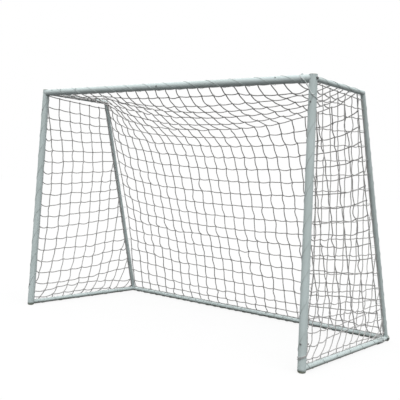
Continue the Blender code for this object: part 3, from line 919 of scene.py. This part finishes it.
@dataclass
class SidePanel:
    """The panel of a side, from post to upright and from top rail to base rail."""

    lines: GoalLines
    side: Side
    levels: Profile  # height of each row at the post
    rises: Profile  # how much higher each row ends at the upright
    leans: Profile  # how much farther back the columns stand, by height
    first_column: float
    column_pitch: float
    foot_shift: tuple[float, float] = (-0.013, -0.006)
    foot_lead: float = 0.035  # how far nearer to the post a column ends than its last knot
    foot_pitch: float = 0.012  # least distance between the columns' ends near the post
    edge_depth: float | None = None  # place of the extra, doubled cord beside the post
    arch: float = 0.04
    diameter: float = 0.007
    billow: float = 0.020
    billow_depth: float = 1.3
    seat: float = 0.004
    fore_room: float = 0.03  # from an edge to the nearest knot inside it
    rear_room: float = 0.04
    looseness: float = 0.0035
    crinkle: float = 0.0032
    give: float = 1.01
    settling: int = 60

    def depth_at(self, height: float) -> float:
        """Distance from the post's axis to the upright's inner side, at a height."""
        upright = self.lines.upright(self.side)
        share = (self.lines.bar_z - height) / (self.lines.bar_z - self.lines.base_z)
        reach = self.lines.rail_radius * 1.04  # the slope makes the tube deeper at a height
        return upright.start.lerp(upright.end, share).y - self.lines.mouth_y - reach - self.seat

    def height(self, row: int, depth: float) -> float:
        """Height of a row at a distance behind the post."""
        front = value_at(self.levels, row)
        share = min(1.0, depth / self.depth_at(front))
        bow = self.arch * math.sin(math.pi * share) if row >= self.levels[-1][0] - 1 else 0.0
        return front + value_at(self.rises, row) * share + bow

    def place(self, depth: float, height: float) -> Vector:
        """Point of the panel, which bellies a little into the goal."""
        lines = self.lines
        shares = min(1.0, depth / self.billow_depth), min(1.0, max(0.0, height / lines.bar_z))
        belly = math.sin(math.pi * shares[0]) * math.sin(math.pi * shares[1])
        x = self.side.value * (lines.post_x - self.billow * max(0.0, belly))
        return Vector((x, lines.mouth_y + depth, height))

    def build(self, finish: Material) -> Object:
        """Hangs and dresses the panel.

        Args:
            finish: Material of the cord.

        Returns:
            The side net.
        """
        lines, sign = self.lines, self.side.value
        cloth = NetCloth("net_" + self.side.prefix + "_side", self.diameter)
        rng = np.random.default_rng(SEED + sign)
        front = lines.post_radius + self.seat
        top, bottom = lines.bar_z - lines.rail_radius - 0.005, lines.base_z + lines.rail_radius + self.seat
        grid: list[dict[int, int]] = []
        fore: list[int] = []
        rear: list[int] = []
        beyond = 2.0  # deeper than any upright
        count = int(lines.base_rail(self.side).length / self.column_pitch) + 3
        depths = [self.first_column + self.column_pitch * number for number in range(count)]
        if self.edge_depth:
            depths.insert(0, self.edge_depth)
        for row in range(self.levels[-1][0] + 1):
            fore.append(cloth.knot(self.place(front, self.height(row, front)), True))
            numbers = {}
            for column, depth in enumerate(depths):
                height = min(self.height(row, depth), top)
                depth += value_at(self.leans, height)
                if front + self.fore_room < depth < self.depth_at(height) - self.rear_room:
                    loose = rng.normal(0.0, self.looseness if row else 0.0, 2)
                    numbers[column] = cloth.knot(self.place(depth + loose[0], height + loose[1]), row == 0)
            grid.append(numbers)
            end = self.height(row, beyond)
            rear.append(cloth.knot(self.place(self.depth_at(end), end), True))
            self._join(cloth, [fore[-1], *numbers.values(), rear[-1]])
        off = Vector((self.foot_shift[0], 0, self.foot_shift[1]))
        feet = [cloth.knot(self.place(front, bottom) + off, True)]
        for column in range(len(depths)):
            rows = [row for row, numbers in enumerate(grid) if column in numbers]
            if not rows:
                continue
            run = [grid[row][column] for row in rows]
            if rows[0] > 0:
                above = (fore[rows[0] - 1], rear[rows[0] - 1])
                run.insert(0, min(above, key=lambda end: (cloth.knots[end] - cloth.knots[run[0]]).length))
            if rows[-1] == len(grid) - 1:
                spot = cloth.knots[run[-1]]
                depth = max(front + self.foot_pitch * len(feet), spot.y - lines.mouth_y - self.foot_lead)
                feet.append(cloth.knot(self.place(depth, bottom) + off, True))
                run.append(feet[-1])
            else:
                run.append(fore[rows[-1] + 1])
            self._join(cloth, run)
            if self.edge_depth and column == 0:
                beside_it = Vector((0, -0.007, 0.003))
                self._join(cloth, [cloth.knot(cloth.knots[knot] + beside_it, True) for knot in run])
        feet.append(cloth.knot(self.place(self.depth_at(bottom), bottom) + off, True))
        for edge in ([*fore, feet[0]], [*rear, feet[-1]], feet):
            self._join(cloth, edge)
        return cloth.hang(self.settling, self.crinkle, SEED + 5 * sign, finish, ("net_" + self.side.prefix,))

    def _join(self, cloth: NetCloth, knots: Sequence[int]) -> None:
        """Runs a cord through knots with a little spare length."""
        gaps = [(cloth.knots[b] - cloth.knots[a]).length for a, b in zip(knots, knots[1:])]
        cloth.thread(knots, [max(gap * self.give, self.seat) for gap in gaps])


@dataclass
class Lacing:
    """Cord that winds round a tube and catches the net's edge once in every turn."""

    name: str
    tube: Tube
    towards_net: Vector
    turns: int
    start: float
    stop: float
    diameter: float = 0.0026
    seat: float = 0.0095
    uneven: float = 0.16
    lag: float = 0.16
    cord: Cord = Cord.LACING
    knots: tuple[float, ...] = ()
    knot_diameter: float = 0.0034
    steps: int = 20

    def build(self, finishes: Finishes) -> Object:
        """Winds the cord.

        Args:
            finishes: Material of each cord.

        Returns:
            The lacing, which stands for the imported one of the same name.
        """
        rng = np.random.default_rng(SEED + self.turns + len(self.name))
        first = self.towards_net.normalized()
        second = self.tube.axis.cross(first)
        pitch = (self.stop - self.start) / self.turns
        wobble = rng.normal(0.0, self.uneven * pitch, self.turns + 2)
        wobble[0] = wobble[-1] = 0.0
        points = []
        for step in range(self.steps * self.turns + 1):
            turn = step / self.steps
            angle = math.tau * turn
            near = max(0.0, math.cos(angle)) ** 3
            reach = self.tube.radius + self.diameter / 2 + REST_GAP + self.seat * near
            lag = turn - self.lag * math.sin(angle)
            slip = float(np.interp(turn, np.arange(self.turns + 2), wobble)) * (0.5 - 0.5 * math.cos(angle * 0.5) ** 2)
            outwards = first * math.cos(angle) + second * math.sin(angle)
            points.append(self.tube.at(self.start + pitch * lag + slip) + outwards * reach)
        data = cord_mesh(self.name + "_cord", [np.array([list(p) for p in points])], self.diameter)
        add_knots(data, [beside(self.tube, place, -self.towards_net) for place in self.knots], self.knot_diameter)
        return add_piece(self.name + "_cord", data, finishes[self.cord], (self.name,))


def side_panels(lines: GoalLines) -> list[SidePanel]:
    """The two side panels. The right one hangs lower at the back than the left one."""
    return [
        SidePanel(
            lines,
            Side.LEFT,
            levels=((0, 2.004), (17, 0.207), (18, 0.120), (19, 0.066)),
            rises=(
                (0, -0.040), (1, -0.040), (4, 0.030), (8, 0.055), (10, 0.085), (12, 0.090), (13, 0.055), (17, 0.050),
                (18, 0.015), (19, 0.0),
            ),
            leans=(
                (0.0, -0.27), (0.1, -0.18), (0.2, -0.09), (0.4, -0.05), (0.75, 0.0), (1.35, 0.008), (1.5, -0.007),
                (1.9, -0.10),
            ),
            first_column=0.140,
            column_pitch=0.132,
            diameter=0.0092,
            foot_shift=(-0.0215, -0.013),
            arch=0.06,
        ),
        SidePanel(
            lines,
            Side.RIGHT,
            levels=((0, 2.004), (11, 0.810), (13, 0.571), (14, 0.490), (16, 0.270), (17, 0.172), (18, 0.088)),
            rises=(
                (0, -0.030), (2, 0.045), (6, 0.040), (9, 0.0), (12, -0.100), (14, -0.120), (15, -0.060), (16, 0.020),
                (17, 0.030), (18, 0.0),
            ),
            leans=(
                (0.0, -0.27), (0.1, -0.18), (0.2, -0.08), (0.4, -0.03), (0.7, 0.018), (1.1, 0.0), (1.5, -0.005),
                (2.0, -0.06),
            ),
            first_column=0.197,
            column_pitch=0.117,
            edge_depth=0.112,
            arch=0.03,
            diameter=0.0072,
        ),
    ]


def lacing_set(lines: GoalLines) -> list[Lacing]:
    """The lacing of every tube that holds the net."""
    bar, rear = lines.crossbar(), lines.rear_bar()
    tied = (0.117, 0.244, 0.458, 2.637)
    found = [
        Lacing("crossbar_lacing", bar, Vector((0, 1, -0.7)), 12, 0.10, bar.length - 0.10, knots=tied),
        Lacing("rear_bar_lacing", rear, Vector((0, -0.4, 1)), 30, 0.05, rear.length - 0.05, 0.0034, uneven=0.3),
    ]
    for side in Side:
        name, inside = side.prefix, Vector((-side.value, 0, 0))
        post, top, back, base = lines.post(side), lines.top_rail(side), lines.upright(side), lines.base_rail(side)
        found += [
            Lacing(name + "_post_lacing", post, Vector((0, 1, 0)), 9, 0.11, lines.bar_z - 0.07),
            Lacing(name + "_top_lacing", top, inside - UP * 0.6, 4, 0.06, top.length - 0.03),
            Lacing(name + "_upright_lacing", back, lines.net_way(side), 16, 0.06, back.length - 0.08, seat=0.034),
            Lacing(name + "_base_lacing", base, UP, 6, 0.06, base.length - 0.06),
        ]
    return found


def smooth_way(points: np.ndarray, steps: int = 6) -> np.ndarray:
    """Leads a smooth line through points.

    Args:
        points: The points in order.
        steps: New points for each stretch.

    Returns:
        The finer line, with the same ends.
    """
    padded = np.vstack([2 * points[0] - points[1], points, 2 * points[-1] - points[-2]])
    share = (np.arange(steps) / steps)[:, None]
    pieces = [
        0.5 * (2 * b + (c - a) * share + (2 * a - 5 * b + 4 * c - d) * share**2 + (3 * b - a - 3 * c + d) * share**3)
        for a, b, c, d in zip(padded, padded[1:], padded[2:], padded[3:])
    ]
    return np.concatenate([*pieces, padded[-2][None]])


@dataclass
class Tie:
    """A white cord that is wound round the tubes of a corner by hand and knotted."""

    name: str
    way: list[Vector]
    knots: list[Vector]
    tubes: list[Tube]
    diameter: float = 0.0046
    cord: Cord = Cord.TIE

    def rest(self, points: np.ndarray) -> np.ndarray:
        """Moves points that lie inside a tube out on to its surface."""
        for tube in self.tubes * 3:
            axis, start = np.array(tube.axis), np.array(tube.start)
            along = (points - start) @ axis
            middle = start + along[:, None] * axis
            outwards = points - middle
            reach = np.linalg.norm(outwards, axis=1)
            least = tube.radius + self.diameter / 2 + REST_GAP
            inside = (reach < least) & (along > -least) & (along < tube.length + least)
            moved = middle + outwards / np.maximum(reach, 1e-6)[:, None] * least
            points = np.where(inside[:, None], moved, points)
        return points

    def build(self, finishes: Finishes) -> Object:
        """Winds and knots the cord.

        Args:
            finishes: Material of each cord.

        Returns:
            The tie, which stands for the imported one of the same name.
        """
        way = self.rest(smooth_way(np.array([list(point) for point in self.way])))
        data = cord_mesh(self.name + "_cord", [way], self.diameter, detail=2)
        add_knots(data, self.knots, self.diameter)
        return add_piece(self.name + "_cord", data, finishes[self.cord], (self.name,))


def corner_ties(lines: GoalLines) -> list[Tie]:
    """The three ties on the right: below the crossbar, above the foot and near the back of the base rail."""
    bar, post, base = lines.crossbar(), lines.post(Side.RIGHT), lines.base_rail(Side.RIGHT)
    over_bar = [
        (-0.120, (0, 1, -0.3)), (-0.118, (0, 0.8, 0.8)), (-0.110, (0, 0, 1)), (-0.098, (0, -0.8, 0.7)),
        (-0.078, (0, -1, 0.1)), (-0.056, (0, -0.95, -0.45)),
    ]
    down_post = [
        (1.978, (-0.75, -0.66, 0)), (1.950, (-0.25, -1, 0)), (1.912, (0.4, -0.9, 0)), (1.890, (1, -0.2, 0)),
        (1.884, (0.7, 0.8, 0)), (1.892, (-0.2, 1, 0)),
    ]
    back_up = [(-0.070, (0, 0.5, -1)), (-0.085, (0, -0.9, -0.5)), (-0.092, (0, -0.8, 0.7)), (-0.096, (0, 0.1, 1))]
    upper = [beside(bar, bar.length + x, way) for x, way in over_bar]
    upper += [beside(post, z, way) for z, way in down_post]
    upper += [post.at(1.945) + Vector((-0.036, 0.030, 0))]
    upper += [beside(bar, bar.length + x, way) for x, way in back_up]
    round_post = [
        (0.086, (-0.3, 1, 0)), (0.088, (-1, 0.2, 0)), (0.090, (-0.7, -0.7, 0)), (0.098, (0, -1, 0)),
        (0.110, (0.7, -0.7, 0)), (0.118, (1, 0, 0)), (0.116, (0.6, 0.8, 0)), (0.106, (-0.5, 0.85, 0)),
        (0.102, (-1, -0.1, 0)), (0.103, (-0.5, -0.85, 0)), (0.114, (0.5, -0.85, 0)), (0.128, (1, 0.05, 0)),
        (0.160, (0.95, 0.4, 0)), (0.196, (0.85, 0.55, 0)), (0.240, (0.7, 0.7, 0)), (0.320, (0.2, 1, 0)),
    ]
    lower = [beside(post, z, way) for z, way in round_post]
    lower.insert(0, base.at(0.115) + Vector((-0.010, 0, base.radius + 0.008)))
    lashing, turns, in_turn = [], 6, 8
    start, span, waver = 1.215, 0.118, 0.006
    for step in range(in_turn * turns + 1):
        angle = math.tau * step / in_turn
        place = start + span * step / (in_turn * turns) + waver * math.sin(2.3 * step)
        lashing.append(beside(base, place, (math.sin(angle), 0, math.cos(angle))))
    return [
        Tie("right_upper_tie", upper, [upper[-1] + Vector((0.002, 0, 0.003)), upper[8]], [bar, post]),
        Tie("right_lower_tie", lower, [lower[14] + Vector((0.003, 0.002, 0))], [post, base], cord=Cord.NET),
        Tie("right_rear_tie", lashing, [beside(base, 1.30, (1, 0, 0.35)) + Vector((0.003, 0, 0))], [base]),
    ]


# Studio


@dataclass(frozen=True)
class Studio:
    """Floor, backdrop, light and camera."""

    floor_tone: str = "#F2F2F2"
    floor_speck: str = "#F6F6F6"
    floor_reach: float = 60.0
    speck_mm: float = 1000 / 3
    sky: float = 1.05
    below: float = 0.05
    horizon: tuple[float, float] = (-0.02, 0.20)  # heights between which the light below turns into the sky's
    sun: float = 3.45
    sun_width: float = math.radians(50)
    sun_tilt: tuple[float, float, float] = (math.radians(20), math.radians(18), 0.0)
    glow: float = 0.938
    glow_share: float = 0.92
    place: tuple[float, float, float] = (3.8416, -4.9140, 1.2902)
    yaw: float = math.radians(-38.664)
    pitch: float = math.radians(4.795)
    roll: float = math.radians(3.104)
    lens: float = 61.41
    shift: float = -0.20

    def camera(self) -> None:
        """Sets the camera where the photograph was taken from."""
        ahead = math.cos(self.pitch)
        forward = Vector((math.sin(self.yaw) * ahead, math.cos(self.yaw) * ahead, math.sin(self.pitch)))
        level = Vector((math.cos(self.yaw), -math.sin(self.yaw), 0))
        upward = level.cross(forward)
        right = level * math.cos(self.roll) + upward * math.sin(self.roll)
        upward = upward * math.cos(self.roll) - level * math.sin(self.roll)
        data = bpy.data.cameras.new("camera")
        data.lens = self.lens
        data.sensor_width = 36.0
        data.shift_y = self.shift
        data.clip_end = 200.0
        item = link("camera", data)
        turn = Matrix((right, upward, -forward)).transposed().to_4x4()
        item.matrix_world = Matrix.Translation(Vector(self.place)) @ turn
        bpy.context.scene.camera = item

    def floor(self) -> None:
        """Lays a wide pale floor that keeps the goal's shadow."""
        bm = bmesh.new()
        bmesh.ops.create_grid(bm, x_segments=2, y_segments=2, size=self.floor_reach)
        data = bpy.data.meshes.new("floor")
        bm.to_mesh(data)
        bm.free()
        m = new_material("pale_floor")
        speck = noise(m, object_place(m), self.speck_mm, 2.0)
        pale = ramp(m, speck, ((0.3, linear(self.floor_tone)), (0.7, linear(self.floor_speck))))
        diffuse = add_node(m, "ShaderNodeBsdfDiffuse", {"Color": pale}).outputs[0]
        level = calc(m, "MULTIPLY", self.seen_straight(m), self.glow)
        glow = add_node(m, "ShaderNodeEmission", {"Color": WHITE, "Strength": level}).outputs[0]
        faint = add_node(m, "ShaderNodeMixShader", {"Fac": self.glow_share, 1: diffuse, 2: glow}).outputs[0]
        add_node(m, "ShaderNodeOutputMaterial", {"Surface": faint})
        data.materials.append(m)
        link("floor", data)

    @staticmethod
    def seen_straight(holder: ID) -> Any:
        """Socket that is 1 for rays from the camera, mirrors or glass, and 0 for light that bounces."""
        path = add_node(holder, "ShaderNodeLightPath").outputs
        sharp = calc(holder, "MAXIMUM", path["Is Camera Ray"], path["Is Transmission Ray"])
        return calc(holder, "MAXIMUM", sharp, path["Is Glossy Ray"])

    def light(self) -> None:
        """Lights the goal from an even white sky, with a wide soft sun that gives the shadow."""
        world = bpy.data.worlds.new("studio")
        world.use_nodes = True
        world.node_tree.nodes.clear()
        bpy.context.scene.world = world
        way = add_node(world, "ShaderNodeTexCoord").outputs["Generated"]
        height = add_node(world, "ShaderNodeSeparateXYZ", {"Vector": way}).outputs["Z"]
        low, high = self.horizon
        span = {"From Min": low, "From Max": high, "To Min": self.below, "To Max": self.sky}
        sky = add_node(world, "ShaderNodeMapRange", {"Value": height, **span}).outputs["Result"]
        level = mix(world, self.seen_straight(world), sky, 1.0, "FLOAT")
        back = add_node(world, "ShaderNodeBackground", {"Color": WHITE, "Strength": level}).outputs[0]
        add_node(world, "ShaderNodeOutputWorld", {"Surface": back})
        lamp = bpy.data.lights.new("overhead", "SUN")
        lamp.energy = self.sun
        lamp.angle = self.sun_width
        link("overhead", lamp).rotation_euler = self.sun_tilt

    def build(self) -> None:
        """Builds the whole studio."""
        self.camera()
        self.floor()
        self.light()
        bpy.context.scene.view_settings.view_transform = "Standard"


def dress_frame(finishes: dict[str, Material]) -> None:
    """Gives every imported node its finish.

    Args:
        finishes: Finish of each material slot. The net's and the cords' solids, which don't show, get the coat.
    """
    parts = frame["record"]["subparts"]
    for part in parts:
        materials = frame["nodes"][part["node"]].data.materials
        materials.clear()
        materials.append(finishes.get(part["material_slot"], finishes["painted_tube"]))
    log.info("frame: %d nodes dressed", len(parts))


def main() -> None:
    """Builds the goal and its studio, piece by piece."""
    logging.basicConfig(level=logging.INFO, format="%(message)s")
    lines = GoalLines()
    dress_frame({slot: finish.build() for slot, finish in FRAME_FINISHES.items()})
    finishes = {cord: cord.value.build() for cord in Cord}
    Studio().build()
    RoofAndBack(lines).build(finishes[Cord.NET])
    for panel in side_panels(lines):
        panel.build(finishes[Cord.NET])
    for lacing in lacing_set(lines):
        lacing.build(finishes)
    for tie in corner_ties(lines):
        tie.build(finishes)


if __name__ == "__main__":
    main()
